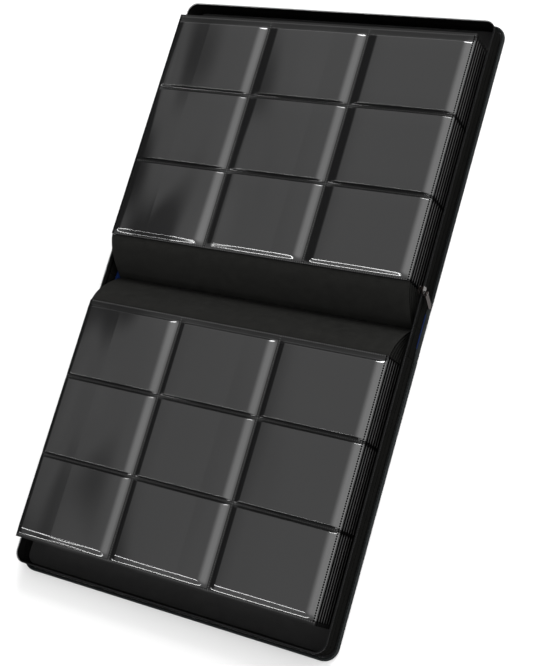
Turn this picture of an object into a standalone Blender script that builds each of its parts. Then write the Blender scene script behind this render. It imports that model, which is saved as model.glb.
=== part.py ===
"""A zip-around album, lying open and flat: two soft covers and a spine, a zip that runs round
their rims, and seven pocket leaves on each side, all bound at the middle of the spine.

Metres, +Z up. The spine runs along Y with its middle at the origin, the front cover lies
towards +X and the back cover towards -X. The outside of the album rests on Z = 0.
"""
import math

import bmesh
import bpy
from mathutils import Vector

# ---- driving sizes -------------------------------------------------------------------
GAP = 0.0003  # between pieces that touch

POCKET_LONG = 0.107  # one pocket, weld to weld, along the spine
POCKET_WIDE = 0.0785  # one pocket, weld to weld, away from the spine
POCKETS = 3  # each way on a leaf
WELD_WIDTH = 0.0024
FILM_RISE = 0.0045  # how far a pocket's film stands above its welds
FILM_SLOPE = 0.0060  # the width of the slope round each pocket's film
FILM_THICKNESS = 0.0004

LEAVES_PER_SIDE = 7
LEAF_SPACING = 0.0054  # from leaf to leaf in the open stack
LEAF_THICKNESS = 0.0020
WELD_THICKNESS = 0.0008
LEAF_START = 0.0345  # from the middle of the spine to the panel's inner edge
LEAF_MARGIN = 0.0025  # of plain leaf beyond the outer pockets
LEAF_SIDE_MARGIN = 0.0002
TOP_LEAF_HEIGHT = 0.0398  # the middle of the top leaf's thickness

GUTTER_THICKNESS = 0.0005
GUTTER_BOW = 0.75  # how much steeper the gutters rise at the spine than on average
BINDING_SPACING = 0.0018  # from leaf to leaf where they are sewn to the spine

BOARD_THICKNESS = 0.0030
LINING_THICKNESS = 0.0005
FOLD_FROM_MIDDLE = 0.0240  # the line that each cover folds about
FOLD_HEIGHT = 0.0005
FOLD_HALF_WIDTH = 0.0030
FOLD_CLEARANCE = 0.0038  # where walls and lining start, beyond the fold line
COVER_END = 0.3000
COVER_HALF_LENGTH = 0.1715
SPINE_HALF_LENGTH = 0.1711  # the zip's pull passes outside it as the album shuts
COVER_CORNER = 0.0140
EDGE_WIDTH = 0.0029  # the binding round the covers' edges
EDGE_HEIGHT = 0.0036

WALL_SIDE_SETBACK = 0.0040  # from the cover's edge to the middle of the wall
WALL_END_SETBACK = 0.0057
WALL_THICKNESS = 0.0015
WALL_TOP = 0.0150
TAPE_THICKNESS = 0.0009
TAPE_TOP = 0.0214
COIL_RADIUS = 0.0011

STRIP_HALF_WIDTH = 0.0160  # the blue strip that lies along the spine
STRIP_THICKNESS = 0.0006
STRIP_HALF_LENGTH = 0.1676

SLIDER_MIDDLE = 0.0322  # where the slider is parked, from the middle of the spine
SLIDER_LENGTH = 0.0070
SLIDER_HEIGHT = 0.0068
PLATE_THICKNESS = 0.0009
PIN_FROM_SLIDER_MIDDLE = 0.0022  # towards the spine
PIN_RADIUS = 0.0005
PIN_HALF_LENGTH = 0.0026
PIN_STANDOFF = 0.0019  # from the slider's outer face to the middle of the pin
EAR_HALF = 0.0005
PULL_LENGTH = 0.0155
PULL_WIDTH = 0.0047
PULL_THICKNESS = 0.0010
PULL_LEAN = math.radians(41)  # it hangs askew, towards the spine
PULL_STANDS_OUT = math.radians(12)  # and its tip stands clear of the wall

# ---- sizes worked out from them ------------------------------------------------------
LEAF_END = LEAF_START + POCKETS * POCKET_WIDE + LEAF_MARGIN
LEAF_HALF_LENGTH = POCKETS * POCKET_LONG / 2 + LEAF_SIDE_MARGIN
LINING_BOTTOM = BOARD_THICKNESS + GAP
LINING_TOP = LINING_BOTTOM + LINING_THICKNESS
STRIP_TOP = LINING_BOTTOM + STRIP_THICKNESS
BINDING_HEIGHT = STRIP_TOP + 0.0008
WALL_Y = COVER_HALF_LENGTH - WALL_SIDE_SETBACK
WALL_X = COVER_END - WALL_END_SETBACK
WALL_CORNER = COVER_CORNER - WALL_SIDE_SETBACK
COIL_MIDDLE = TAPE_TOP + COIL_RADIUS + GAP / 2
COIL_TOP = COIL_MIDDLE + COIL_RADIUS
# when the album is shut, the two coils' middle plane is above the fold line
ZIP_PLANE = FOLD_FROM_MIDDLE + FOLD_HEIGHT
CLOSED_TOP_LEAF = LEAF_THICKNESS / 2 + 0.0004
CLOSED_BOTTOM_LEAF = ZIP_PLANE - LINING_TOP - LEAF_THICKNESS / 2 - 0.0005
CLOSED_LEAF_START = 0.0300  # height of the leaves' inner edges in the shut album

COLORS = {
    "case_fabric": ((0.012, 0.012, 0.013), 0.85, 0.0),
    "lining_fabric": ((0.008, 0.008, 0.009), 0.90, 0.0),
    "edge_fabric": ((0.030, 0.036, 0.040), 0.70, 0.0),
    "zip_tape": ((0.016, 0.016, 0.017), 0.80, 0.0),
    "zip_coil": ((0.030, 0.030, 0.031), 0.45, 0.0),
    "slider_metal": ((0.25, 0.23, 0.22), 0.35, 1.0),
    "leaf_black": ((0.010, 0.010, 0.011), 0.60, 0.0),
    "gutter_fabric": ((0.014, 0.014, 0.013), 0.85, 0.0),
    "pocket_film": ((0.060, 0.060, 0.062), 0.18, 0.0),
    "blue_fabric": ((0.030, 0.120, 0.420), 0.75, 0.0),
}


# ---- making solids -------------------------------------------------------------------
def clear_scene():
    for thing in list(bpy.data.objects):
        bpy.data.objects.remove(thing, do_unlink=True)


def make_collection(name):
    group = bpy.data.collections.new(name)
    bpy.context.scene.collection.children.link(group)
    return group


def material_for(piece_name, kind):
    """A material of the piece's own, in the look of its kind."""
    color, roughness, metallic = COLORS[kind]
    material = bpy.data.materials.new(f"{kind}_{piece_name}")
    material.use_nodes = True
    shader = material.node_tree.nodes["Principled BSDF"]
    shader.inputs["Base Color"].default_value = (*color, 1.0)
    shader.inputs["Roughness"].default_value = roughness
    shader.inputs["Metallic"].default_value = metallic
    return material


def piece_from(name, shape, kind, origin, group):
    """An object from a bmesh in world coordinates, with its own origin at the given point."""
    bmesh.ops.recalc_face_normals(shape, faces=shape.faces[:])
    bmesh.ops.translate(shape, verts=shape.verts[:], vec=-Vector(origin))
    mesh = bpy.data.meshes.new(name)
    shape.to_mesh(mesh)
    shape.free()
    piece = bpy.data.objects.new(name, mesh)
    piece.location = origin
    piece.data.materials.append(material_for(name, kind))
    group.objects.link(piece)
    return piece


def loft(rings):
    """A closed solid through rings of points, with a flat cap on the first and the last."""
    shape = bmesh.new()
    rows = [[shape.verts.new(point) for point in ring] for ring in rings]
    count = len(rows[0])
    for low, high in zip(rows, rows[1:]):
        for i in range(count):
            j = (i + 1) % count
            shape.faces.new((low[i], low[j], high[j], high[i]))
    shape.faces.new(rows[0])
    shape.faces.new(rows[-1])
    return shape


def upright(outline, bottom, top):
    """A plan outline raised between two heights."""
    return loft([[(x, y, z) for x, y in outline] for z in (bottom, top)])


def along_spine(section, start, end):
    """A cross-section of (x, z) points drawn out along Y."""
    return loft([[(x, y, z) for x, z in section] for y in (start, end)])


def block(low, high):
    """A box between two corners."""
    plan = ((low[0], low[1]), (high[0], low[1]), (high[0], high[1]), (low[0], high[1]))
    return upright(plan, low[2], high[2])


def rounded_end(side, start, end, half_length, radius, steps=6):
    """The three outer sides of one cover in plan, from -Y round to +Y: points and the directions
    that face outwards there."""
    path = [(start, -half_length, 0.0, -1.0)]
    for corner, first in ((-1, -90), (1, 0)):
        for step in range(steps + 1):
            turn = math.radians(first + 90 * step / steps)
            out_x, out_y = math.cos(turn), math.sin(turn)
            path.append(
                (
                    end - radius + radius * out_x,
                    corner * (half_length - radius) + radius * out_y,
                    out_x,
                    out_y,
                )
            )
    path.append((start, half_length, 0.0, 1.0))
    return [(side * x, y, side * out_x, out_y) for x, y, out_x, out_y in path]


def rim(path, section):
    """A section of (distance outwards, height) points carried round a path."""
    return loft(
        [
            [(x + out_x * away, y + out_y * away, z) for away, z in section]
            for x, y, out_x, out_y in path
        ]
    )


def rectangle(thickness, bottom, top):
    half = thickness / 2
    return [(-half, bottom), (half, bottom), (half, top), (-half, top)]


def circle(radius, height, sides=8):
    return [
        (
            radius * math.cos(2 * math.pi * (i + 0.5) / sides),
            height + radius * math.sin(2 * math.pi * (i + 0.5) / sides),
        )
        for i in range(sides)
    ]


# ---- covers and spine ----------------------------------------------------------------
def edge_section():
    """The rolled binding on a raw edge, as (distance beyond the edge, height) points."""
    roll = EDGE_HEIGHT * 0.3
    return [
        (-EDGE_WIDTH, 0.0),
        (-roll, 0.0),
        (0.0, roll),
        (0.0, EDGE_HEIGHT - roll),
        (-roll, EDGE_HEIGHT),
        (-EDGE_WIDTH, EDGE_HEIGHT),
    ]


def make_spine(group):
    middle = (0.0, 0.0, 0.0)
    half = FOLD_FROM_MIDDLE - FOLD_HALF_WIDTH
    panel_end = SPINE_HALF_LENGTH - EDGE_WIDTH - GAP
    panel = block((-half, -panel_end, 0.0), (half, panel_end, BOARD_THICKNESS))
    piece_from("spine_panel", panel, "case_fabric", middle, group)
    for end_name, end in (("right", -1), ("left", 1)):
        edge = loft(
            [
                [(x, end * (SPINE_HALF_LENGTH + away), z) for away, z in edge_section()]
                for x in (-half, half)
            ]
        )
        piece_from(f"spine_edge_{end_name}", edge, "edge_fabric", middle, group)
    strip = block(
        (-STRIP_HALF_WIDTH, -STRIP_HALF_LENGTH, LINING_BOTTOM),
        (STRIP_HALF_WIDTH, STRIP_HALF_LENGTH, STRIP_TOP),
    )
    piece_from("spine_strip", strip, "blue_fabric", middle, group)
    for side_name, side in (("front", 1), ("back", -1)):
        fold = block(
            (side * (half + GAP), -SPINE_HALF_LENGTH, GAP),
            (
                side * (FOLD_FROM_MIDDLE + FOLD_HALF_WIDTH - GAP),
                SPINE_HALF_LENGTH,
                BOARD_THICKNESS / 2,
            ),
        )
        piece_from(f"{side_name}_fold", fold, "case_fabric", middle, group)
        for end_name, end in (("right", -1), ("left", 1)):
            make_gusset(f"gusset_{end_name}_{side_name}", side, end, group)


def make_gusset(name, side, end, group):
    """Half of the soft wall across one end of the spine, with its length of tape and coil."""
    bottom = STRIP_TOP + GAP
    half_wall, half_tape = WALL_THICKNESS / 2, TAPE_THICKNESS / 2
    neck = COIL_MIDDLE - COIL_RADIUS * 0.7
    coil = [(COIL_RADIUS, COIL_MIDDLE), (0.0, COIL_TOP), (-COIL_RADIUS, COIL_MIDDLE)]
    section = [
        (-half_wall, bottom),
        (half_wall, bottom),
        (half_wall, WALL_TOP),
        (half_tape, WALL_TOP),
        (half_tape, neck),
        *coil,
        (-half_tape, neck),
        (-half_tape, WALL_TOP),
        (-half_wall, WALL_TOP),
    ]
    start, stop = GAP / 2, FOLD_FROM_MIDDLE + FOLD_CLEARANCE - GAP
    rings = [
        [(side * x, end * WALL_Y + away, z) for away, z in section] for x in (start, stop)
    ]
    piece_from(name, loft(rings), "zip_tape", (0.0, 0.0, 0.0), group)


def make_cover(side_name, side, group):
    fold = (side * FOLD_FROM_MIDDLE, 0.0, FOLD_HEIGHT)
    board_start = FOLD_FROM_MIDDLE + FOLD_HALF_WIDTH
    soft_start = FOLD_FROM_MIDDLE + FOLD_CLEARANCE

    def add(part_name, shape, kind):
        piece_from(f"{side_name}_{part_name}", shape, kind, fold, group)

    inset = EDGE_WIDTH + GAP
    board = rounded_end(
        side,
        board_start,
        COVER_END - inset,
        COVER_HALF_LENGTH - inset,
        COVER_CORNER - inset,
    )
    add(
        "cover",
        upright([(x, y) for x, y, _, _ in board], 0.0, BOARD_THICKNESS),
        "case_fabric",
    )

    edge = rounded_end(side, soft_start, COVER_END, COVER_HALF_LENGTH, COVER_CORNER)
    add("edge_binding", rim(edge, edge_section()), "edge_fabric")

    inner_wall = WALL_THICKNESS / 2 + GAP
    lining = rounded_end(
        side,
        soft_start,
        WALL_X - inner_wall,
        WALL_Y - inner_wall,
        WALL_CORNER - inner_wall,
    )
    add(
        "lining",
        upright([(x, y) for x, y, _, _ in lining], LINING_BOTTOM, LINING_TOP),
        "lining_fabric",
    )

    wall = rounded_end(side, soft_start, WALL_X, WALL_Y, WALL_CORNER)
    add(
        "wall",
        rim(wall, rectangle(WALL_THICKNESS, LINING_BOTTOM, WALL_TOP)),
        "case_fabric",
    )
    add(
        "zip_tape",
        rim(wall, rectangle(TAPE_THICKNESS, WALL_TOP + GAP, TAPE_TOP)),
        "zip_tape",
    )
    add("zip_coil", rim(wall, circle(COIL_RADIUS, COIL_MIDDLE)), "zip_coil")


# ---- leaves --------------------------------------------------------------------------
def welds(start, pitch):
    """Where the slopes of a row of pockets begin and end, as (place, height from 0 to 1)."""
    half = WELD_WIDTH / 2
    stations = []
    for pocket in range(POCKETS):
        low, high = start + pocket * pitch, start + (pocket + 1) * pitch
        stations += [
            (low + half, 0.0),
            (low + half + FILM_SLOPE, 1.0),
            (high - half - FILM_SLOPE, 1.0),
            (high - half, 0.0),
        ]
    return stations


def leaf_height(number):
    """The middle of a leaf's thickness in the open stack, where leaf 1 is the lowest."""
    return TOP_LEAF_HEIGHT - LEAF_SPACING * (LEAVES_PER_SIDE - number)


def leaf_closed_place(number):
    """The leaf's distance from the zip's plane in the shut album. The top leaf keeps its
    distance from the one below it, which carries it."""
    carrier = LEAVES_PER_SIDE - 1
    if number > carrier:
        return CLOSED_TOP_LEAF
    carrier_place = CLOSED_TOP_LEAF + LEAF_SPACING
    step = (CLOSED_BOTTOM_LEAF - carrier_place) / (carrier - 1)
    return carrier_place + step * (carrier - number)


def leaf_pivot(number, side):
    """The line that a leaf turns about as the album shuts: a quarter turn about it takes the leaf
    from its place in the open stack to its place in the shut one."""
    number = min(number, LEAVES_PER_SIDE - 1)
    total = leaf_height(number) + leaf_closed_place(number)
    rise = CLOSED_LEAF_START - LEAF_START
    return (side * (total - rise) / 2, 0.0, (total + rise) / 2)


def turning_line():
    """The line that a top leaf turns about to lie on the other stack, pocket against pocket."""
    return (0.0, 0.0, TOP_LEAF_HEIGHT + LEAF_THICKNESS / 2 + FILM_RISE)


def make_leaf(side_name, side, number, group):
    middle = leaf_height(number)
    is_top = number == LEAVES_PER_SIDE
    pivot = turning_line() if is_top else leaf_pivot(number, side)
    full, thin = LEAF_THICKNESS / 2, WELD_THICKNESS / 2
    stations = [
        (x, thin + (full - thin) * share)
        for x, share in welds(LEAF_START, POCKET_WIDE)
    ]
    stations = [(LEAF_START, thin), *stations, (LEAF_END, thin)]
    upper = [(side * x, middle + half) for x, half in stations]
    lower = [(side * x, middle - half) for x, half in reversed(stations)]
    panel = along_spine(upper + lower, -LEAF_HALF_LENGTH, LEAF_HALF_LENGTH)
    piece_from(f"{side_name}_leaf_{number}", panel, "leaf_black", pivot, group)
    if is_top:
        make_film(side_name, side, middle, pivot, group)


def make_film(side_name, side, middle, pivot, group):
    """The clear film over the nine pockets of a top leaf: a thin skin with nine raised panels."""
    long_start = -POCKETS * POCKET_LONG / 2
    along_x = [(LEAF_START, 0.0), *welds(LEAF_START, POCKET_WIDE), (LEAF_END, 0.0)]
    along_y = [
        (-LEAF_HALF_LENGTH, 0.0),
        *welds(long_start, POCKET_LONG),
        (LEAF_HALF_LENGTH, 0.0),
    ]
    base = middle + LEAF_THICKNESS / 2 + GAP
    shape = bmesh.new()
    skins = []
    for lift in (0.0, FILM_THICKNESS):
        skins.append(
            [
                [
                    shape.verts.new(
                        (side * x, y, base + lift + FILM_RISE * min(rise_x, rise_y))
                    )
                    for y, rise_y in along_y
                ]
                for x, rise_x in along_x
            ]
        )
    last_x, last_y = len(along_x) - 1, len(along_y) - 1
    for skin in skins:
        for i in range(last_x):
            for j in range(last_y):
                shape.faces.new(
                    (skin[i][j], skin[i + 1][j], skin[i + 1][j + 1], skin[i][j + 1])
                )
    under, over = skins
    for i in range(last_x):
        for j in (0, last_y):
            shape.faces.new((under[i][j], under[i + 1][j], over[i + 1][j], over[i][j]))
    for j in range(last_y):
        for i in (0, last_x):
            shape.faces.new((under[i][j], under[i][j + 1], over[i][j + 1], over[i][j]))
    piece_from(f"{side_name}_pocket_film", shape, "pocket_film", pivot, group)


def make_gutter(side_name, side, number, group, steps=8):
    """The soft strip that joins a leaf to the spine: it rises steeply from the binding and
    flattens out as it reaches the leaf."""
    place = BINDING_SPACING * (LEAVES_PER_SIDE - number) + GAP + GUTTER_THICKNESS
    start = Vector((place, BINDING_HEIGHT))
    end = Vector((LEAF_START - GAP, leaf_height(number)))
    line = []
    for step in range(steps + 1):
        share = step / steps
        climb = share + GUTTER_BOW * share * (1 - share)
        line.append(
            Vector(
                (
                    start.x + (end.x - start.x) * share,
                    start.y + (end.y - start.y) * climb,
                )
            )
        )
    half = GUTTER_THICKNESS / 2
    upper, lower = [], []
    for i, point in enumerate(line):
        before, after = line[max(i - 1, 0)], line[min(i + 1, steps)]
        run = (after - before).normalized()
        across = Vector((-run.y, run.x)) * half
        upper.append((side * (point + across).x, (point + across).y))
        lower.append((side * (point - across).x, (point - across).y))
    section = upper + lower[::-1]
    strip = along_spine(section, -LEAF_HALF_LENGTH, LEAF_HALF_LENGTH)
    origin = (0.0, 0.0, BINDING_HEIGHT)
    piece_from(f"{side_name}_gutter_{number}", strip, "gutter_fabric", origin, group)


# ---- slider and pull -----------------------------------------------------------------
def join_solids(name, shapes, kind, origin, group, cutters):
    """One closed solid from several that overlap."""
    pieces = [
        piece_from(f"{name}_solid_{i}", shape, kind, origin, cutters if i else group)
        for i, shape in enumerate(shapes)
    ]
    body = pieces[0]
    body.name = name
    for extra in pieces[1:]:
        extra.hide_render = True
        extra.display_type = "WIRE"
        union = body.modifiers.new(extra.name, "BOOLEAN")
        union.operation = "UNION"
        union.solver = "EXACT"
        union.object = extra
    return body


def rod(start, end, radius, sides=16):
    """A round bar between two points."""
    start, end = Vector(start), Vector(end)
    turn = (end - start).to_track_quat("Z", "Y")
    rings = []
    for middle in (start, end):
        rings.append(
            [
                middle
                + turn
                @ Vector(
                    (
                        radius * math.cos(2 * math.pi * i / sides),
                        radius * math.sin(2 * math.pi * i / sides),
                        0.0,
                    )
                )
                for i in range(sides)
            ]
        )
    return loft(rings)


def pin_middle():
    """The middle of the pin that the pull hangs from, outside the slider's outer plate."""
    plate_face = WALL_Y + COIL_RADIUS + GAP + PLATE_THICKNESS
    return Vector(
        (
            SLIDER_MIDDLE - PIN_FROM_SLIDER_MIDDLE,
            -plate_face - PIN_STANDOFF,
            COIL_MIDDLE + PIN_RADIUS,
        )
    )


def pull_directions():
    """Along the pin, down the pull from the pin, and out of the pull's outer face."""
    along_zip = Vector((1.0, 0.0, 0.0))
    down_wall = Vector((0.0, -math.sin(PULL_STANDS_OUT), -math.cos(PULL_STANDS_OUT)))
    axis = along_zip * math.cos(PULL_LEAN) + down_wall * math.sin(PULL_LEAN)
    down = down_wall * math.cos(PULL_LEAN) - along_zip * math.sin(PULL_LEAN)
    return axis, down, down.cross(axis)


def make_slider(group, cutters):
    """Two plates with the coils between them, joined by a post that parts the coils."""
    parked = (SLIDER_MIDDLE, -WALL_Y, COIL_MIDDLE)
    half_length, half_height = SLIDER_LENGTH / 2, SLIDER_HEIGHT / 2
    clear = COIL_RADIUS + GAP
    low_x, high_x = SLIDER_MIDDLE - half_length, SLIDER_MIDDLE + half_length
    low_z, high_z = ZIP_PLANE - half_height, ZIP_PLANE + half_height
    plates = []
    for out in (-1, 1):
        near, far = out * clear, out * (clear + PLATE_THICKNESS)
        chamfer = SLIDER_LENGTH * 0.2
        outline = [
            (low_x + chamfer, low_z),
            (high_x - chamfer / 2, low_z),
            (high_x, low_z + chamfer / 2),
            (high_x, high_z - chamfer / 2),
            (high_x - chamfer / 2, high_z),
            (low_x + chamfer, high_z),
            (low_x, high_z - chamfer),
            (low_x, low_z + chamfer),
        ]
        plates.append(
            loft([[(x, -WALL_Y + away, z) for x, z in outline] for away in (near, far)])
        )
    reach = clear + PLATE_THICKNESS / 2
    post_half = ZIP_PLANE - COIL_TOP - GAP
    post = block(
        (high_x - 0.0028, -WALL_Y - reach, ZIP_PLANE - post_half),
        (high_x - 0.0008, -WALL_Y + reach, ZIP_PLANE + post_half),
    )
    middle = pin_middle()
    axis, _, _ = pull_directions()
    pin = rod(
        middle - axis * (PIN_HALF_LENGTH + EAR_HALF / 2),
        middle + axis * (PIN_HALF_LENGTH + EAR_HALF / 2),
        PIN_RADIUS,
    )
    ears = []
    for end in (-1, 1):
        foot = middle + axis * end * PIN_HALF_LENGTH
        ears.append(
            block(
                (foot.x - EAR_HALF, foot.y - PIN_RADIUS, foot.z - EAR_HALF),
                (foot.x + EAR_HALF, -WALL_Y - reach, foot.z + EAR_HALF),
            )
        )
    join_solids(
        "zip_slider",
        [plates[0], plates[1], post, pin, *ears],
        "slider_metal",
        parked,
        group,
        cutters,
    )


def make_pull(group):
    """A flat pull on a knuckle round the pin. It is drawn out as a plate with a round eye, then
    turned to hang askew."""
    eye_inner = PIN_RADIUS + GAP
    eye_outer = eye_inner + PULL_THICKNESS * 0.7
    half_plate = PULL_THICKNESS / 2
    half_width = PIN_HALF_LENGTH - EAR_HALF * 1.35 - GAP
    plate_half_width = PULL_WIDTH / 2
    middle = pin_middle()
    axis, down, out = pull_directions()
    sides = 16

    def place(along, away, below):
        return middle + axis * along + out * away + down * below

    shape = bmesh.new()
    # the knuckle: a tube round the pin, open at the bottom side where the plate joins it
    rings = []
    join = math.asin(half_plate / eye_outer)
    angles = [join + (2 * math.pi - 2 * join) * i / sides for i in range(sides + 1)]
    for along in (-half_width, half_width):
        outer = [
            place(along, eye_outer * math.sin(a), eye_outer * math.cos(a)) for a in angles
        ]
        inner = [
            place(along, eye_inner * math.sin(a), eye_inner * math.cos(a)) for a in angles
        ]
        rings.append(
            (
                [shape.verts.new(p) for p in outer],
                [shape.verts.new(p) for p in inner],
            )
        )
    (outer_a, inner_a), (outer_b, inner_b) = rings
    for i in range(sides):
        shape.faces.new((outer_a[i], outer_a[i + 1], outer_b[i + 1], outer_b[i]))
        shape.faces.new((inner_a[i], inner_a[i + 1], inner_b[i + 1], inner_b[i]))
        shape.faces.new((outer_a[i], outer_a[i + 1], inner_a[i + 1], inner_a[i]))
        shape.faces.new((outer_b[i], outer_b[i + 1], inner_b[i + 1], inner_b[i]))
    # the bottom of the tube's bore, across the join
    shape.faces.new((inner_a[0], inner_a[-1], inner_b[-1], inner_b[0]))
    shape.faces.new((outer_a[0], outer_a[-1], inner_a[-1], inner_a[0]))
    shape.faces.new((outer_b[0], outer_b[-1], inner_b[-1], inner_b[0]))
    # the plate below it, which widens from the knuckle and has a rounded tip
    neck = eye_outer * math.cos(join)
    shoulder = neck + 0.0016
    tip = [
        (
            plate_half_width * math.cos(math.radians(angle)),
            PULL_LENGTH - plate_half_width + plate_half_width * math.sin(math.radians(angle)),
        )
        for angle in range(0, 181, 30)
    ]
    outline = [(plate_half_width, shoulder), *tip, (-plate_half_width, shoulder)]
    faces = []
    for away, (first, last) in (
        (half_plate, (outer_a[0], outer_b[0])),
        (-half_plate, (outer_a[-1], outer_b[-1])),
    ):
        verts = [shape.verts.new(place(along, away, below)) for along, below in outline]
        faces.append([last, *verts, first])
    upper, lower = faces
    shape.faces.new(upper)
    shape.faces.new(lower)
    for i in range(len(upper) - 1):
        shape.faces.new((upper[i], upper[i + 1], lower[i + 1], lower[i]))
    piece_from("pull_tab", shape, "slider_metal", middle, group)


def main():
    clear_scene()
    album = make_collection("zip_album")
    cutters = make_collection("cutters")
    make_spine(album)
    for side_name, side in (("front", 1), ("back", -1)):
        make_cover(side_name, side, album)
        for number in range(1, LEAVES_PER_SIDE + 1):
            make_gutter(side_name, side, number, album)
            make_leaf(side_name, side, number, album)
    make_slider(album, cutters)
    make_pull(album)


main()
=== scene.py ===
"""How the zip-around album looks: clear-film pockets over black, soft gutters, a fabric case with a
stitched hem, a zip round its rim, and the studio that it lies in.

Metres, in the frame's axes: the spine runs along Y, the front cover lies towards +X, +Z is up.
"""
import math

import bmesh
import bpy
from mathutils import Matrix, Vector


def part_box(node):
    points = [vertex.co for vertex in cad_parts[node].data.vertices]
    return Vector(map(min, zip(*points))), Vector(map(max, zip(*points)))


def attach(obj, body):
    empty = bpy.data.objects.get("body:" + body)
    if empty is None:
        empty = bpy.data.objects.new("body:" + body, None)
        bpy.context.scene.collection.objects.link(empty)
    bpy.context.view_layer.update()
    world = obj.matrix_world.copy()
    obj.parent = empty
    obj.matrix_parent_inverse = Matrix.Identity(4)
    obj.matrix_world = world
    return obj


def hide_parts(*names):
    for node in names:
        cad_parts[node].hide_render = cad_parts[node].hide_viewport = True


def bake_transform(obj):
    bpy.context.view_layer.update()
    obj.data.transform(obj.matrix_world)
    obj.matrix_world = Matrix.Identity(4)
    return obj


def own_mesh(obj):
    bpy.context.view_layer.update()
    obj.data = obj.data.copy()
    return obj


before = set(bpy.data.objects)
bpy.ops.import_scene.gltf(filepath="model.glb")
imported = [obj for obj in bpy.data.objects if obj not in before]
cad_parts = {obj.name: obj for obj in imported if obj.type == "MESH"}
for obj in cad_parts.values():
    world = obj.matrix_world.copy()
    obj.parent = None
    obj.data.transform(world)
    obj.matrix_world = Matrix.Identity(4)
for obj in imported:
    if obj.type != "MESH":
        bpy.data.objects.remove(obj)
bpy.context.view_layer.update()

SIDES = {"front": 1, "back": -1}
ENDS = {"right": -1, "left": 1}
GAP = 0.0003  # between pieces that touch
SAME_HEIGHT = 1e-7  # points that differ by less are level

# ---- sizes of the leaves --------------------------------------------------------------
LEAVES = 7
POCKETS = 3
OUTER_MARGIN = 0.0025  # plain leaf beyond the outer row of pockets
leaf_low, leaf_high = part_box("front_leaf_7")
LEAF_START, LEAF_END, LEAF_HALF_LENGTH = leaf_low.x, leaf_high.x, leaf_high.y
LEAF_HALF_THICKNESS = (leaf_high.z - leaf_low.z) / 2
POCKET_WIDE = (LEAF_END - LEAF_START - OUTER_MARGIN) / POCKETS
POCKET_LONG = 2 * LEAF_HALF_LENGTH / POCKETS
WELD_HALF_WIDTH = 0.0014
WELD_HALF_THICKNESS = 0.0004
# how far in from its welds a pocket's film goes on rising
STEEP_SHOULDER = 0.0018  # at most welds that run along the spine
ROUND_SHOULDER = 0.0062  # where the film is slack, along the edge that the pockets hang towards
MOUTH_SHOULDER = 0.0036  # along the edge that the pockets hang from, where their mouths are
END_SHOULDER = 0.0110  # at the welds that run away from the spine
TIGHT_SHOULDER = 0.0065  # the same on the back side, at the pockets' +Y ends
LEAF_SHOULDER = 0.0040
LEAF_END_ROUND = 0.0003  # a leaf's own ends are cut square, and only a little rounded
LEAF_SEAM = 0.0040  # the width of the dark seam along them
FILM_THICKNESS = 0.0003
TURN_ROOM = 0.00075  # so that two films lie face to face when a top leaf is turned over
CROWN = 0.16  # the share of a pocket's rise that comes from the bow of its film along the spine
MOUTH_MARGIN = 0.0048  # flat film between the pockets' mouths and the edge that they hang from
MARK_SPACING = 0.0022  # of the little marks pressed along each weld
MARK_SIZE = 0.0005
PIERCED_SIZE = 0.0008  # of the dark marks along each end of the leaf
PIERCED_INSET = 0.0014  # from a leaf's end to the row of marks along it
GUTTER_THICKNESS = 0.0005
GUTTER_BOW = 0.75  # how much steeper the gutters rise at the spine than on average
# the lowest gutters lie along the spine: they rise sooner, so that the cover shuts over them
LOWEST_GUTTERS = (1, 2)
LOWEST_BOW = 1.0
LOWEST_BEND = 0.45  # a share of their run, measured from their roots

# ---- sizes of the case ----------------------------------------------------------------
case_low, case_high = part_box("front_edge_binding")
wall_low, wall_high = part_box("front_wall")
tape_low, tape_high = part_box("front_zip_tape")
coil_low, coil_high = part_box("front_zip_coil")
fold_low, fold_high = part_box("front_fold")
SOFT_START = case_low.x  # where a cover's hem, wall and zip begin, beyond its fold
CORNER = 0.0140
WALL_THICKNESS = 0.0015
TAPE_THICKNESS = 0.0009
WALL_X = wall_high.x - WALL_THICKNESS / 2
WALL_Y = wall_high.y - WALL_THICKNESS / 2
WALL_CORNER = CORNER - (case_high.y - WALL_Y)
HEM_HEIGHT = case_high.z
HEM_WIDTH = 0.0029
COIL_RADIUS = (coil_high.z - coil_low.z) / 2
COIL_MIDDLE = (coil_high.z + coil_low.z) / 2
COIL_WIRE = 0.00032
COIL_PITCH = 0.0016
STITCH_LENGTH = 0.0022
STITCH_SPACING = 0.0032
STITCH_RADIUS = 0.00028
SEAM_ABOVE_BASE = 0.0022  # of the soft walls
SEAM_BELOW_RIM = 0.0014
CREASE = 0.0003  # pressed into each fold's cloth

# ---- the studio -----------------------------------------------------------------------
# the sky is even overhead, glows towards -Y and is dark towards +Y: how far towards +Y each
# change begins and ends, and the strengths
SKY_STRENGTH = 0.86
DUSK_REACH = (0.44, 0.72)
DUSK_STRENGTH = -0.83
GLOW_REACH = (-0.60, 0.36)
GLOW_STRENGTH = 2.5


# ---- making meshes --------------------------------------------------------------------
def piece_from(name, points, faces, materials, face_materials=None, smooth=True):
    """A mesh object in the frame's own coordinates."""
    mesh = bpy.data.meshes.new(name)
    mesh.from_pydata([tuple(point) for point in points], [], faces)
    shape = bmesh.new()
    shape.from_mesh(mesh)
    bmesh.ops.recalc_face_normals(shape, faces=shape.faces[:])
    shape.to_mesh(mesh)
    shape.free()
    for material in materials:
        mesh.materials.append(material)
    if face_materials:
        mesh.polygons.foreach_set("material_index", face_materials)
    mesh.polygons.foreach_set("use_smooth", [smooth] * len(mesh.polygons))
    piece = bpy.data.objects.new(name, mesh)
    bpy.context.scene.collection.objects.link(piece)
    return piece


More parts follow.
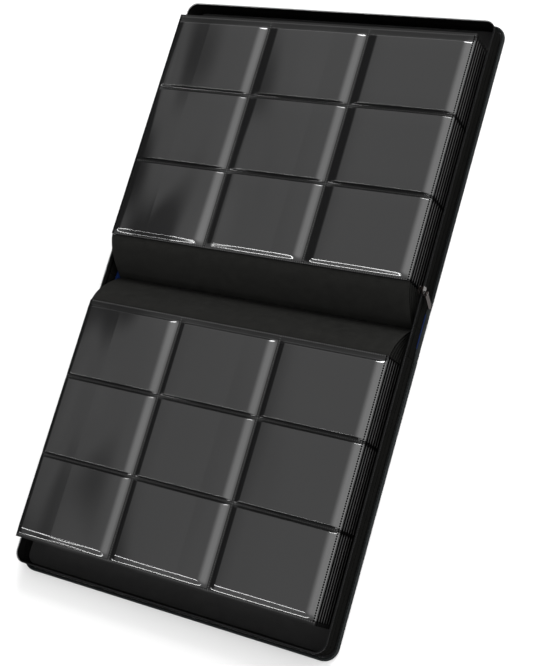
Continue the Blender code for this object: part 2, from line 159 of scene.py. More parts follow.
def loft(rings, cap=True):
    """Points and faces of a skin through rings of points."""
    count = len(rings[0])
    points = [point for ring in rings for point in ring]
    faces = []
    for row in range(len(rings) - 1):
        for i in range(count):
            j = (i + 1) % count
            low, high = row * count, (row + 1) * count
            faces.append((low + i, low + j, high + j, high + i))
    if cap:
        faces.append(tuple(range(count)))
        faces.append(tuple(range(len(points) - count, len(points))))
    return points, faces


def joined(parts):
    """Several sets of points and faces as one."""
    points, faces = [], []
    for more_points, more_faces in parts:
        offset = len(points)
        points += more_points
        faces += [tuple(i + offset for i in face) for face in more_faces]
    return points, faces


def soften(piece, width, segments=2):
    """Rounds a piece's hard edges where it is shown."""
    bevel = piece.modifiers.new("soft edges", "BEVEL")
    bevel.width = width
    bevel.segments = segments
    bevel.limit_method = "ANGLE"
    bevel.angle_limit = math.radians(40)
    bevel.harden_normals = True


def rim_path(side, start, end, half_length, radius, steps=10):
    """The three outer sides of one cover in plan, from -Y round to +Y, as (place, outwards)."""
    path = [(Vector((start, -half_length)), Vector((0.0, -1.0)))]
    for corner, first in ((-1, -90), (1, 0)):
        for step in range(steps + 1):
            turn = math.radians(first + 90 * step / steps)
            out = Vector((math.cos(turn), math.sin(turn)))
            middle = Vector((end - radius, corner * (half_length - radius)))
            path.append((middle + out * radius, out))
    path.append((Vector((start, half_length)), Vector((0.0, 1.0))))
    return [
        (Vector((side * place.x, place.y)), Vector((side * out.x, out.y)))
        for place, out in path
    ]


def spine_path(side, end, start, stop, y, steps=6):
    """A straight stretch across half of the spine, as (place, outwards)."""
    return [
        (Vector((side * (start + (stop - start) * step / steps), end * y)), Vector((0.0, end)))
        for step in range(steps + 1)
    ]


def carried(path, section):
    """A section of (distance outwards, height) points carried along a path."""
    return loft(
        [
            [(*(place + out * away), height) for away, height in section]
            for place, out in path
        ]
    )


def walk(path, spacing):
    """Evenly spaced (place, outwards, forwards) along a path, half a spacing or more from its
    ends."""
    total = sum((b - a).length for (a, _), (b, _) in zip(path, path[1:]))
    spots, left = [], (spacing + total % spacing) / 2
    for (a, out_a), (b, out_b) in zip(path, path[1:]):
        length = (b - a).length
        while left < length:
            share = left / length
            spots.append(
                (a.lerp(b, share), out_a.lerp(out_b, share).normalized(), (b - a).normalized())
            )
            left += spacing
        left -= length
    return spots


def tube(line, radius, sides=6):
    """A round tube along a line of points."""
    rings = []
    for i, point in enumerate(line):
        forwards = (line[min(i + 1, len(line) - 1)] - line[max(i - 1, 0)]).normalized()
        turn = forwards.to_track_quat("Z", "Y")
        rings.append(
            [
                point
                + turn
                @ Vector(
                    (
                        radius * math.cos(math.tau * side / sides),
                        radius * math.sin(math.tau * side / sides),
                        0.0,
                    )
                )
                for side in range(sides)
            ]
        )
    return loft(rings)


def stitches(path, away, height, facing_up=False):
    """A row of thread stitches along a path, sunk at both ends into what they are sewn through."""
    rows = []
    for place, out, forwards in walk(path, STITCH_SPACING):
        middle = Vector((*(place + out * away), height))
        run = Vector((*forwards, 0.0)) * STITCH_LENGTH / 2
        proud = Vector((0, 0, 1)) if facing_up else Vector((*out, 0.0)) * math.copysign(1, away)
        line = [
            middle + run * share + proud * STITCH_RADIUS * (0.9 - 1.5 * share * share)
            for share in (-1.0, -0.6, 0.0, 0.6, 1.0)
        ]
        rows.append(tube(line, STITCH_RADIUS, 5))
    return joined(rows)


def coil(path, radius, height):
    """The zip's coil: a spiral of nylon along a path."""
    turns_per_point = 8
    line = []
    for i, (place, out, _) in enumerate(walk(path, COIL_PITCH / turns_per_point)):
        angle = math.tau * i / turns_per_point
        line.append(
            Vector((*(place + out * radius * math.cos(angle)), height + radius * math.sin(angle)))
        )
    return tube(line, COIL_WIRE, 5)


# ---- materials ------------------------------------------------------------------------
def new_material(name, base, roughness, metallic=0.0, specular=0.5):
    material = bpy.data.materials.new(name)
    material.use_nodes = True
    shader = material.node_tree.nodes["Principled BSDF"]
    shader.inputs["Base Color"].default_value = (*base, 1.0)
    shader.inputs["Roughness"].default_value = roughness
    shader.inputs["Metallic"].default_value = metallic
    shader.inputs["Specular IOR Level"].default_value = specular
    return material, shader


def add_node(material, kind, **values):
    node = material.node_tree.nodes.new(kind)
    for name, value in values.items():
        node.inputs[name.replace("_", " ")].default_value = value
    return node


def wave(material, direction, period, distortion=0.0):
    """Bands along one direction with the given spacing in metres, from 0 to 1."""
    place = add_node(material, "ShaderNodeTexCoord")
    bands = add_node(
        material,
        "ShaderNodeTexWave",
        Scale=math.pi / 10 / period,
        Distortion=distortion,
    )
    bands.bands_direction = direction
    material.node_tree.links.new(place.outputs["Object"], bands.inputs["Vector"])
    return bands.outputs["Fac"]


def noise(material, size, detail=3.0, roughness=0.55, stretch=(1, 1, 1)):
    """Soft random patches of the given size in metres, from 0 to 1."""
    place = add_node(material, "ShaderNodeTexCoord")
    scale = add_node(material, "ShaderNodeMapping", Scale=stretch)
    patches = add_node(
        material, "ShaderNodeTexNoise", Scale=1 / size, Detail=detail, Roughness=roughness
    )
    links = material.node_tree.links
    links.new(place.outputs["Object"], scale.inputs["Vector"])
    links.new(scale.outputs["Vector"], patches.inputs["Vector"])
    return patches.outputs["Fac"]


def combined(material, operation, first, second):
    node = add_node(material, "ShaderNodeMath")
    node.operation = operation
    for socket, value in zip(node.inputs, (first, second)):
        if isinstance(value, (int, float)):
            socket.default_value = value
        else:
            material.node_tree.links.new(value, socket)
    return node.outputs["Value"]


def ranged(material, value, low, high):
    """A 0 to 1 value stretched to run between two others."""
    return combined(material, "ADD", combined(material, "MULTIPLY", value, high - low), low)


def colored(material, shader, value, dark, light):
    """Drives the base colour from dark, where the value is 0, to light, where it is 1."""
    ramp = material.node_tree.nodes.new("ShaderNodeMix")
    ramp.data_type = "RGBA"
    ramp.inputs["A"].default_value = (*dark, 1.0)
    ramp.inputs["B"].default_value = (*light, 1.0)
    material.node_tree.links.new(value, ramp.inputs["Factor"])
    material.node_tree.links.new(ramp.outputs["Result"], shader.inputs["Base Color"])


def embossed(material, shader, value, depth, strength=1.0):
    bump = add_node(material, "ShaderNodeBump", Strength=strength, Distance=depth)
    material.node_tree.links.new(value, bump.inputs["Height"])
    material.node_tree.links.new(bump.outputs["Normal"], shader.inputs["Normal"])


def roughened(material, shader, value, low, high):
    material.node_tree.links.new(
        ranged(material, value, low, high), shader.inputs["Roughness"]
    )


def fabric(name, dark, light, thread, directions=("X", "Y"), roughness=0.85, specular=0.06):
    """A matt woven cloth: threads both ways, with uneven dye."""
    material, shader = new_material(name, dark, roughness, specular=specular)
    first, second = (wave(material, way, thread, 0.6) for way in directions)
    weave = combined(material, "MULTIPLY", first, second)
    patches = noise(material, 0.008, 5.0, 0.75)
    tone = combined(material, "ADD", combined(material, "MULTIPLY", weave, 0.5), patches)
    colored(material, shader, combined(material, "MULTIPLY", tone, 0.7), dark, light)
    embossed(material, shader, weave, thread * 0.35, 0.7)
    roughened(material, shader, patches, roughness - 0.08, roughness + 0.08)
    return material


def film(name, base, roughness, coat, specular=0.5):
    """Clear glossy film over black: a soft reflection with a sharp one on top. It is faintly
    rippled, and sags in broad folds towards the end of the spine that it has slipped from."""
    material, shader = new_material(name, base, roughness, specular=specular)
    place = add_node(material, "ShaderNodeTexCoord")
    split = add_node(material, "ShaderNodeSeparateXYZ")
    slack = add_node(
        material,
        "ShaderNodeMapRange",
        From_Min=-0.02,
        From_Max=0.12,
        To_Min=0.15,
        To_Max=1.0,
    )
    material.node_tree.links.new(place.outputs["Object"], split.inputs["Vector"])
    material.node_tree.links.new(split.outputs["Y"], slack.inputs["Value"])
    folds = noise(material, 0.095, 0.0, 0.4, stretch=(0.8, 1.5, 1))
    sag = combined(material, "MULTIPLY", folds, slack.outputs["Result"])
    embossed(material, shader, sag, 0.022, 1.0)
    scuffs = noise(material, 0.006, 4.0, 0.6)
    roughened(material, shader, scuffs, roughness - 0.03, roughness + 0.05)
    shader.inputs["Coat Weight"].default_value = coat
    shader.inputs["Coat Roughness"].default_value = 0.06
    return material


upright = ("Z", "DIAGONAL")  # the threads of cloth that stands on edge
case_cloth = fabric("case cloth", (0.0025, 0.0025, 0.0027), (0.007, 0.007, 0.0073), 0.0009)
wall_cloth = fabric(
    "wall cloth", (0.0018, 0.0018, 0.0017), (0.0052, 0.0052, 0.0049), 0.0008, upright, specular=0.0
)
lining_cloth = fabric("lining cloth", (0.009, 0.009, 0.009), (0.024, 0.024, 0.024), 0.0006)
hem_cloth = fabric(
    "hem cloth",
    (0.0062, 0.0070, 0.0071),
    (0.0167, 0.0184, 0.0186),
    0.0007,
    upright,
    roughness=0.65,
    specular=0.0,
)
gutter_cloth = fabric("gutter cloth", (0.0004, 0.0004, 0.0003), (0.0102, 0.0102, 0.0094), 0.0005)
tape_cloth = fabric(
    "zip tape cloth", (0.0018, 0.0018, 0.0017), (0.0050, 0.0050, 0.0048), 0.0007, upright, specular=0.0
)
blue_cloth = fabric("blue cloth", (0.0012, 0.005, 0.032), (0.003, 0.012, 0.055), 0.0006)

thread, thread_shader = new_material("sewing thread", (0.002, 0.002, 0.002), 0.7, specular=0.0)
colored(thread, thread_shader, noise(thread, 0.0009), (0.0008,) * 3, (0.0026,) * 3)
embossed(thread, thread_shader, wave(thread, "DIAGONAL", 0.0003), 0.0001, 0.6)

nylon, nylon_shader = new_material("coil nylon", (0.004, 0.004, 0.004), 0.5, specular=0.08)
colored(nylon, nylon_shader, noise(nylon, 0.004), (0.002, 0.002, 0.0022), (0.005, 0.005, 0.0054))
roughened(nylon, nylon_shader, noise(nylon, 0.001), 0.32, 0.5)

pocket_film = film("pocket film", (0.004, 0.004, 0.0041), 0.12, 0.4)
weld_film = film("welded film", (0.004, 0.004, 0.004), 0.45, 0.0, specular=0.10)
# the leaves below the top film get darker, duller copies of the film and weld materials: painted shade
# for the narrow gaps between stacked leaves, where little light gets in
shaded_leaf_film = film("shaded leaf film", (0.0015, 0.0015, 0.0015), 0.20, 0.15, specular=0.25)
shaded_leaf_weld = film("shaded leaf weld", (0.0004, 0.0004, 0.0004), 0.50, 0.0, specular=0.02)

film_edge, edge_shader = new_material("film edge", (0.009, 0.009, 0.009), 0.5, specular=0.06)
edge_tone = noise(film_edge, 0.003, stretch=(1, 1, 6))
colored(film_edge, edge_shader, edge_tone, (0.008,) * 3, (0.023,) * 3)
roughened(film_edge, edge_shader, noise(film_edge, 0.001), 0.45, 0.6)

weld_light, weld_shader = new_material("weld mark", (0.02, 0.02, 0.02), 0.4, specular=0.2)
colored(weld_light, weld_shader, noise(weld_light, 0.002), (0.010,) * 3, (0.040,) * 3)
roughened(weld_light, weld_shader, noise(weld_light, 0.001), 0.25, 0.4)
weld_dark, dark_shader = new_material("pierced mark", (0.002,) * 3, 0.8, specular=0.0)
colored(weld_dark, dark_shader, noise(weld_dark, 0.002), (0.0005,) * 3, (0.0025,) * 3)
roughened(weld_dark, dark_shader, noise(weld_dark, 0.001), 0.6, 0.8)

metal, metal_shader = new_material("slider metal", (0.12, 0.105, 0.095), 0.4, metallic=1.0)
brushing = noise(metal, 0.0004, 2.0, 0.6, stretch=(1, 1, 0.08))
colored(metal, metal_shader, noise(metal, 0.004), (0.0100, 0.0080, 0.0075), (0.0190, 0.0155, 0.0145))
embossed(metal, metal_shader, brushing, 0.00006, 0.5)
roughened(metal, metal_shader, brushing, 0.25, 0.48)


# ---- leaves and their film ------------------------------------------------------------
def pocket_profile(first, last, first_weld=WELD_HALF_WIDTH, last_weld=WELD_HALF_WIDTH):
    """How the film stands across one pocket: half a weld, a shoulder, the top, and the same back."""
    return first_weld, first, last, last_weld


def stations(start, pitch, profiles, flats):
    """Places across a row of pockets: close together on the shoulders, wider on the tops."""
    shares = (0.0, 0.25, 0.5, 0.58, 0.66, 0.74, 0.82, 0.91, 1.0)
    places = []
    for pocket, (first_weld, first, last, last_weld) in enumerate(profiles):
        low = start + pocket * pitch + first_weld
        high = start + (pocket + 1) * pitch - last_weld
        rising = [low + first * share for share in shares]
        falling = [high - last * share for share in reversed(shares)]
        top = falling[0] - rising[-1]
        places += rising
        places += [rising[-1] + top * step / flats for step in range(1, flats)]
        places += falling
    return places


def rise_at(place, start, pitch, profiles):
    """How far the film has risen at a place across a row of pockets, from 0 to 1."""
    pocket = min(int((place - start) / pitch), POCKETS - 1)
    offset = place - start - pocket * pitch
    first_weld, first, last, last_weld = profiles[pocket]
    share = min((offset - first_weld) / first, (pitch - offset - last_weld) / last)
    share = min(max(share, 0.0), 1.0)
    if share < 0.5:
        return share * 4 / 3
    return 1 - (1 - share) ** 2 * 4 / 3


def crowned(place, start, pitch):
    """The bow of the film between the ends of a pocket, as a share of its full rise."""
    share = (place - start) / pitch % 1.0
    return 1 - CROWN * (2 * share - 1) ** 2


def film_profiles(side):
    """The profiles of a top film: across the pockets away from the spine, and along it."""
    across = [pocket_profile(STEEP_SHOULDER, STEEP_SHOULDER) for _ in range(POCKETS)]
    if side > 0:
        across[0] = pocket_profile(ROUND_SHOULDER, STEEP_SHOULDER)
        across[-1] = pocket_profile(STEEP_SHOULDER, MOUTH_SHOULDER, last_weld=MOUTH_MARGIN)
        last_shoulder = END_SHOULDER
    else:
        across[0] = pocket_profile(MOUTH_SHOULDER, STEEP_SHOULDER, first_weld=MOUTH_MARGIN)
        across[-1] = pocket_profile(STEEP_SHOULDER, ROUND_SHOULDER)
        last_shoulder = TIGHT_SHOULDER
    along = [
        pocket_profile(END_SHOULDER, last_shoulder, first_weld=0.0),
        pocket_profile(END_SHOULDER, last_shoulder),
        pocket_profile(END_SHOULDER, last_shoulder, last_weld=0.0),
    ]
    return across, along


def leaf_profiles():
    """The profiles of a leaf's two faces: across the pockets away from the spine, and along it."""
    across = [pocket_profile(LEAF_SHOULDER, LEAF_SHOULDER) for _ in range(POCKETS)]
    along = [
        pocket_profile(LEAF_END_ROUND, LEAF_SHOULDER, first_weld=0.0),
        pocket_profile(LEAF_SHOULDER, LEAF_SHOULDER),
        pocket_profile(LEAF_SHOULDER, LEAF_END_ROUND, last_weld=0.0),
    ]
    return across, along


def film_rise(x, y, profiles):
    """How far a film has risen at a distance from the spine and a place along it, from 0 to 1."""
    across, along = profiles
    rise = rise_at(x, LEAF_START, POCKET_WIDE, across)
    rise *= rise_at(y, -LEAF_HALF_LENGTH, POCKET_LONG, along)
    return rise * crowned(y, -LEAF_HALF_LENGTH, POCKET_LONG)


def pocket_grid(side, profiles, flats, skin, more_columns=()):
    """Rows of points over a leaf's nine pockets. skin turns the film's rise, from 0 to 1, into
    a height. more_columns are further places along the spine that have points."""
    across, along = profiles
    row_places = [LEAF_START, *stations(LEAF_START, POCKET_WIDE, across, flats), LEAF_END]
    column_places = stations(-LEAF_HALF_LENGTH, POCKET_LONG, along, flats)
    column_places = sorted([*column_places, *more_columns])
    return [
        [(side * x, y, skin(film_rise(x, y, profiles))) for y in column_places]
        for x in row_places
    ]


def grid_faces(rows, offset=0):
    wide = len(rows[0])
    return [
        (
            offset + i * wide + j,
            offset + (i + 1) * wide + j,
            offset + (i + 1) * wide + j + 1,
            offset + i * wide + j + 1,
        )
        for i in range(len(rows) - 1)
        for j in range(wide - 1)
    ]


def border(rows):
    """The places of a grid's outer points in order round it, as (row, column)."""
    last_row, last_column = len(rows) - 1, len(rows[0]) - 1
    return (
        [(i, 0) for i in range(last_row)]
        + [(last_row, j) for j in range(last_column)]
        + [(i, last_column) for i in range(last_row, 0, -1)]
        + [(0, j) for j in range(last_column, 0, -1)]
    )


def two_skins(name, upper, lower, materials, seam=0.0):
    """A piece between two grids of the same size. The first material is for the pockets, the
    second for the flat welds between them and a seam along the ends, and the third for the
    pockets' cut ends."""
    wide, count = len(upper[0]), len(upper) * len(upper[0])
    points = [point for grid in (upper, lower) for row in grid for point in row]
    faces = grid_faces(upper) + grid_faces(lower, count)

    def is_weld(point, grid):
        return abs(point[2] - grid[0][0][2]) < SAME_HEIGHT

    def material_of(face):
        corners = [points[i] for i in face]
        grid = upper if face[0] < count else lower
        if all(is_weld(corner, grid) for corner in corners):
            return 1
        from_end = LEAF_HALF_LENGTH - min(abs(y) for _, y, _ in corners)
        if from_end < 2 * LEAF_END_ROUND:
            return 2
        return 1 if from_end < seam + GAP else 0

    face_materials = [material_of(face) for face in faces]
    around = border(upper)
    for (row, column), (next_row, next_column) in zip(around, around[1:] + around[:1]):
        a, b = row * wide + column, next_row * wide + next_column
        faces.append((a, b, b + count, a + count))
        inner_row = upper[min(max(row, 1), len(upper) - 2)]
        inner = inner_row[min(max(column, 1), wide - 2)]
        face_materials.append(1 if is_weld(inner, upper) else 2)
    return piece_from(name, points, faces, materials, face_materials)


def make_leaf(side_name, side, number):
    """One leaf: nine welded pockets that bulge on both faces."""
    low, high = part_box(f"{side_name}_leaf_{number}")
    middle = (low.z + high.z) / 2

    def half(rise):
        return WELD_HALF_THICKNESS + (LEAF_HALF_THICKNESS - WELD_HALF_THICKNESS) * rise

    profiles = leaf_profiles()
    seams = (LEAF_SEAM - LEAF_HALF_LENGTH, LEAF_HALF_LENGTH - LEAF_SEAM)
    upper = pocket_grid(side, profiles, 3, lambda rise: middle + half(rise), seams)
    lower = pocket_grid(side, profiles, 3, lambda rise: middle - half(rise), seams)
    name = f"{side_name}_pocket_leaf_{number}"
    # the leaf's faces and welds take the darkened film materials: painted shade between the stacked
    # leaves
    leaf = two_skins(name, upper, lower, [shaded_leaf_film, shaded_leaf_weld, film_edge], LEAF_SEAM)
    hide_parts(f"{side_name}_leaf_{number}")
    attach(leaf, f"{side_name}_page_{number}")


def make_film(side_name, side):
    """The clear film over the top leaf's nine pockets, and the marks pressed along its welds."""
    low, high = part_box(f"{side_name}_pocket_film")
    height = low.z + FILM_THICKNESS
    bulge = high.z - height - TURN_ROOM
    profiles = film_profiles(side)
    upper = pocket_grid(side, profiles, 6, lambda rise: height + bulge * rise)
    lower = pocket_grid(side, profiles, 6, lambda rise: low.z + bulge * rise)
    skin = two_skins(f"{side_name}_film", upper, lower, [pocket_film, weld_film, film_edge])
    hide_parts(f"{side_name}_pocket_film")

    row_welds = [LEAF_START + POCKET_WIDE * i for i in range(POCKETS + 1)]
    row_welds[0] += WELD_HALF_WIDTH / 2
    column_welds = [-LEAF_HALF_LENGTH + POCKET_LONG * i for i in range(1, POCKETS)]
    pierced = LEAF_HALF_LENGTH - PIERCED_INSET
    inner, outer = [], []
    for x in row_welds:
        for i in range(int(2 * LEAF_HALF_LENGTH / MARK_SPACING)):
            y = -LEAF_HALF_LENGTH + MARK_SPACING * (i + 0.5)
            inner.append(mark(side * x, y, height))
    for i in range(int(POCKETS * POCKET_WIDE / MARK_SPACING)):
        x = LEAF_START + MARK_SPACING * (i + 0.5)
        inner += [mark(side * x, y, height) for y in column_welds]
        for y in (-pierced, pierced):
            rise = bulge * film_rise(x, y, profiles)
            outer.append(mark(side * x, y, height + rise + PIERCED_SIZE * 0.3, PIERCED_SIZE))
    marks = []
    for name, rows, material in (
        ("weld_marks", inner, weld_light),
        ("edge_marks", outer, weld_dark),
    ):
        marks.append(
            piece_from(f"{side_name}_{name}", *joined(rows), [material], smooth=False)
        )
    for piece in (skin, *marks):
        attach(piece, f"{side_name}_page_7")
        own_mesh(piece)


def mark(x, y, height, size=MARK_SIZE):
    """One little raised square on the film."""
    corners = [
        (x + a * size, y + b * size, height) for a, b in ((-1, -1), (1, -1), (1, 1), (-1, 1))
    ]
    peak = (x, y, height + size * 0.6)
    return [*corners, peak], [(0, 1, 4), (1, 2, 4), (2, 3, 4), (3, 0, 4), (3, 2, 1, 0)]


# ---- gutters --------------------------------------------------------------------------
def gutter_line(number, steps):
    """The middle of a gutter's thickness as (distance from the spine, height), from the binding
    to the leaf."""
    low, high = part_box(f"front_gutter_{number}")
    leaf_low, leaf_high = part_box(f"front_leaf_{number}")
    end = Vector((LEAF_START - GAP, (leaf_low.z + leaf_high.z) / 2))
    start = Vector((low.x + GUTTER_THICKNESS / 2, low.z))
    if number == LEAVES:
        start.x = GUTTER_THICKNESS * 0.4  # the two top gutters press together at the spine
    bow = LOWEST_BOW if number in LOWEST_GUTTERS else GUTTER_BOW
    line = []
    for step in range(steps + 1):
        share = step / steps
        climb = share + bow * share * (1 - share)
        line.append(
            Vector((start.x + (end.x - start.x) * share, start.y + (end.y - start.y) * climb))
        )
    return line


def make_gutter(side_name, side, number):
    """The soft cloth between the spine's binding and one leaf."""
    line = gutter_line(number, 24)
    name, page = f"{side_name}_gutter_cloth_{number}", f"{side_name}_page_{number}"
    pieces = [(name, line, "spine", page)]
    if number == LEAVES:
        # the top leaf is carried by the leaf below it, so its gutter is made in two pieces
        half = len(line) // 2
        carrier = f"{side_name}_page_{LEAVES - 1}"
        pieces = [
            (f"{name}_spine", line[: half + 1], "spine", carrier),
            (f"{name}_leaf", line[half:], carrier, page),
        ]
    for piece_name, stretch, first, second in pieces:
        rings = []
        for i, point in enumerate(stretch):
            before, after = stretch[max(i - 1, 0)], stretch[min(i + 1, len(stretch) - 1)]
            run = (after - before).normalized()
            across = Vector((-run.y, run.x)) * GUTTER_THICKNESS / 2
            upper, lower = point + across, point - across
            rings.append(
                [
                    (side * upper.x, -LEAF_HALF_LENGTH, upper.y),
                    (side * upper.x, LEAF_HALF_LENGTH, upper.y),
                    (side * lower.x, LEAF_HALF_LENGTH, lower.y),
                    (side * lower.x, -LEAF_HALF_LENGTH, lower.y),
                ]
            )
        cloth = piece_from(piece_name, *loft(rings), [gutter_cloth], smooth=False)
        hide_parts(f"{side_name}_gutter_{number}")
        start, end = stretch[0], stretch[-1]
        if number in LOWEST_GUTTERS:
            end = start.lerp(end, LOWEST_BEND)
        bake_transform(cloth)


# ---- the case -------------------------------------------------------------------------
def wall_section(thickness):
    """The soft wall: thin at the base, a little fuller half way up, folded over at the top."""
    low, high = wall_low.z, wall_high.z
    half = thickness / 2
    levels = ((0.0, 0.8), (0.1, 0.95), (0.3, 1.0), (0.85, 1.0), (0.95, 0.85), (1.0, 0.5))
    outer = [(half * full, low + (high - low) * level) for level, full in levels]
    return outer + [(-away, height) for away, height in reversed(outer)]


def tape_section(thickness):
    half = thickness / 2
    low, high = tape_low.z - 2 * GAP, tape_high.z + COIL_RADIUS / 2
    return [(-half, low), (half, low), (half, high), (-half, high)]


def hem_section():
    """The binding, folded over the case's edge, rounded outside."""
    reach, height = HEM_WIDTH / 2, HEM_HEIGHT / 2
    section = [(-HEM_WIDTH, HEM_HEIGHT * 0.96), (-HEM_WIDTH, HEM_HEIGHT * 0.04)]
    for step in range(9):
        turn = math.radians(-90 + 180 * step / 8)
        section.append((-reach + reach * math.cos(turn), height + height * math.sin(turn)))
    return section


def finished(replaced):
    """Hides the CAD nodes that a piece stands for."""
    for node in replaced:
        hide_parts(node)


def make_cover(side_name, side):
    """The hem, wall, tape, coil and stitches round a cover."""
    wall = rim_path(side, SOFT_START, WALL_X, WALL_Y, WALL_CORNER)
    edge = rim_path(side, SOFT_START, case_high.x, case_high.y, CORNER)
    outer_face = WALL_THICKNESS / 2
    seams = joined(
        [
            stitches(edge, -HEM_WIDTH * 0.62, HEM_HEIGHT, facing_up=True),
            stitches(wall, outer_face, wall_low.z + SEAM_ABOVE_BASE),
            stitches(wall, outer_face, wall_high.z - SEAM_BELOW_RIM),
            stitches(wall, -outer_face, wall_high.z - SEAM_BELOW_RIM),
        ]
    )
    side_wall = carried(wall, wall_section(WALL_THICKNESS))
    tape = carried(wall, tape_section(TAPE_THICKNESS))
    spiral = coil(wall, COIL_RADIUS - COIL_WIRE, COIL_MIDDLE)
    hem = carried(edge, hem_section())
    for part, shape, material, slot, replaced in (
        ("side_wall", side_wall, wall_cloth, "case_fabric", ["wall"]),
        ("tape", tape, tape_cloth, "zip_tape", ["zip_tape"]),
        ("coil", spiral, nylon, "zip_coil", ["zip_coil"]),
        ("hem", hem, hem_cloth, "edge_fabric", ["edge_binding"]),
        ("stitches", seams, thread, "edge_fabric", []),
    ):
        piece = piece_from(f"{side_name}_{part}", *shape, [material], smooth=part != "tape")
        finished([f"{side_name}_{node}" for node in replaced])
        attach(piece, f"{side_name}_case")


def across_spine(side_name, side):
    """The hem, wall, tape and coil across each end of the spine."""
    near, far = fold_low.x - GAP, SOFT_START
    for end_name, end in ENDS.items():
        wall = spine_path(side, end, 0.0, far, WALL_Y, 12)
        hem = spine_path(side, end, near - GAP, far, fold_high.y, 8)
        # thinner than the covers' walls, which close over it
        slim = WALL_THICKNESS * 0.7
        side_wall = carried(wall, wall_section(slim))
        tape = carried(wall, tape_section(TAPE_THICKNESS * 0.7))
        spiral = coil(wall, COIL_RADIUS * 0.5, COIL_MIDDLE)
        seam = stitches(wall, slim / 2 - STITCH_RADIUS * 0.5, wall_low.z + SEAM_ABOVE_BASE)
        gusset = f"gusset_{end_name}_{side_name}"
        for part, shape, material, slot, replaced in (
            ("wall", side_wall, wall_cloth, "case_fabric", [gusset]),
            ("tape", tape, tape_cloth, "zip_tape", [gusset]),
            ("coil", spiral, nylon, "zip_coil", [gusset]),
            ("stitches", seam, thread, "edge_fabric", [gusset]),
            ("hem", carried(hem, hem_section()), hem_cloth, "edge_fabric", []),
        ):
            piece = piece_from(f"{end_name}_{side_name}_gusset_{part}", *shape, [material])
            finished(replaced)
            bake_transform(piece)


def make_fold(side_name, side):
    """The cloth that each cover folds about, with the crease that use has pressed into it."""
    steps = 12
    rings = []
    for step in range(steps + 1):
        share = step / steps
        x = fold_low.x + (fold_high.x - fold_low.x) * share
        crease = CREASE * math.sin(math.pi * share)
        rings.append(
            [
                (side * x, -fold_high.y, fold_low.z + crease),
                (side * x, fold_high.y, fold_low.z + crease),
                (side * x, fold_high.y, fold_high.z + 2 * CREASE - crease),
                (side * x, -fold_high.y, fold_high.z + 2 * CREASE - crease),
            ]
        )
    cloth = piece_from(f"{side_name}_fold_cloth", *loft(rings), [case_cloth], smooth=False)
    finished([f"{side_name}_fold"])
    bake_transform(cloth)


def make_strip():
    """The blue strip under the gutters. Its ends come out under the soft walls, over the hem."""
    low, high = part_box("spine_strip")
    thickness, end = 0.0004, WALL_Y + WALL_THICKNESS * 0.8
    bottom = HEM_HEIGHT + GAP / 3
    path = [(Vector((low.x, 0.0)), Vector((0.0, 1.0))), (Vector((high.x, 0.0)), Vector((0.0, 1.0)))]
    section = [(-end, bottom), (end, bottom), (end, bottom + thickness), (-end, bottom + thickness)]
    strip = piece_from("blue_strip", *carried(path, section), [blue_cloth], smooth=False)
    finished(["spine_strip"])
    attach(strip, "spine")


def dress(node, material, edge):
    """A new material, and softer edges, on a CAD piece that keeps its shape."""
    thing = bpy.data.objects[node]
    for slot in thing.material_slots:
        slot.material = material
    soften(thing, edge)


# ---- camera and light -----------------------------------------------------------------
def make_camera():
    azimuth, elevation, roll = (math.radians(angle) for angle in (-19.99, 59.38, -56.32))
    distance = 1.2776
    aim = Vector((-0.0312, -0.0276, 0.022))
    back = Vector(
        (
            math.sin(azimuth) * math.cos(elevation),
            -math.cos(azimuth) * math.cos(elevation),
            math.sin(elevation),
        )
    )
    data = bpy.data.cameras.new("camera")
    data.sensor_width = 36
    data.lens = 74.78
    camera = bpy.data.objects.new("camera", data)
    camera.rotation_mode = "QUATERNION"
    level = (-back).to_track_quat("-Z", "Y")
    camera.rotation_quaternion = Matrix.Rotation(roll, 3, back).to_quaternion() @ level
    camera.location = aim + back * distance
    bpy.context.scene.collection.objects.link(camera)
    bpy.context.scene.camera = camera


def softbox(name, place, target, width, height, power):
    """A rectangular lamp that faces a target."""
    data = bpy.data.lights.new(name, "AREA")
    data.shape = "RECTANGLE"
    data.size, data.size_y = width, height
    data.energy = power
    lamp = bpy.data.objects.new(name, data)
    lamp.location = place
    lamp.rotation_mode = "QUATERNION"
    lamp.rotation_quaternion = (Vector(target) - Vector(place)).to_track_quat("-Z", "Y")
    bpy.context.scene.collection.objects.link(lamp)


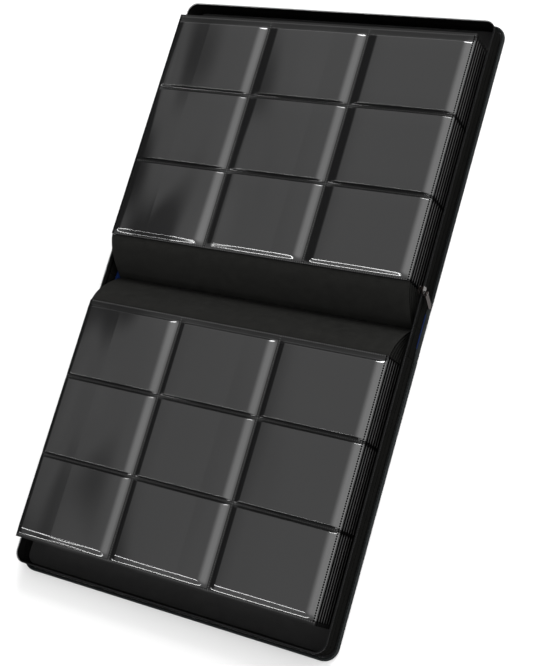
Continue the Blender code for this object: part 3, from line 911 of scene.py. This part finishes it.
def make_studio():
    """A pale floor, a sky that is bright overhead and darker towards +Y, and two soft lamps."""
    floor = piece_from(
        "studio_floor",
        [(-30, -30, 0), (30, -30, 0), (30, 30, 0), (-30, 30, 0)],
        [(0, 1, 2, 3)],
        [],
    )
    paper, shader = new_material("studio paper", (0.45, 0.45, 0.45), 0.9)
    colored(paper, shader, noise(paper, 0.4), (0.445,) * 3, (0.455,) * 3)
    floor.data.materials.append(paper)
    floor.visible_glossy = False

    world = bpy.data.worlds.new("studio")
    world.use_nodes = True
    nodes, links = world.node_tree.nodes, world.node_tree.links
    direction = nodes.new("ShaderNodeTexCoord")
    split = nodes.new("ShaderNodeSeparateXYZ")
    links.new(direction.outputs["Generated"], split.inputs["Vector"])

    def gradient(reach, strengths, added_to):
        ramp = nodes.new("ShaderNodeMapRange")
        ramp.interpolation_type = "SMOOTHSTEP"
        ramp.inputs["From Min"].default_value, ramp.inputs["From Max"].default_value = reach
        ramp.inputs["To Min"].default_value, ramp.inputs["To Max"].default_value = strengths
        links.new(split.outputs["Y"], ramp.inputs["Value"])
        links.new(ramp.outputs["Result"], added_to)

    total = nodes.new("ShaderNodeMath")
    total.operation = "ADD"
    gradient(GLOW_REACH, (GLOW_STRENGTH, 0.0), total.inputs[0])
    gradient(DUSK_REACH, (SKY_STRENGTH, SKY_STRENGTH + DUSK_STRENGTH), total.inputs[1])
    links.new(total.outputs["Value"], nodes["Background"].inputs["Strength"])
    nodes["Background"].inputs["Color"].default_value = (1.0, 1.0, 1.0, 1.0)
    bpy.context.scene.world = world
    bpy.context.scene.view_settings.view_transform = "Standard"

    softbox("far light", (1.55, -0.26, 1.24), (0.0, 0.0, 0.0), 0.70, 0.70, 60)
    softbox("strip light", (-1.32, 0.94, 1.17), (0.0, 0.0, 0.0), 1.2, 0.12, 16)


make_camera()
for side_name, side in SIDES.items():
    make_film(side_name, side)
    for number in range(1, LEAVES + 1):
        make_leaf(side_name, side, number)
        make_gutter(side_name, side, number)
    make_cover(side_name, side)
    across_spine(side_name, side)
    make_fold(side_name, side)
    dress(f"{side_name}_cover", case_cloth, 0.0006)
    dress(f"{side_name}_lining", lining_cloth, 0.0002)
dress("spine_panel", case_cloth, 0.0006)
make_strip()
for end_name in ENDS:
    dress(f"spine_edge_{end_name}", hem_cloth, 0.0006)
dress("zip_slider", metal, 0.00025)
dress("pull_tab", metal, 0.00020)
make_studio()
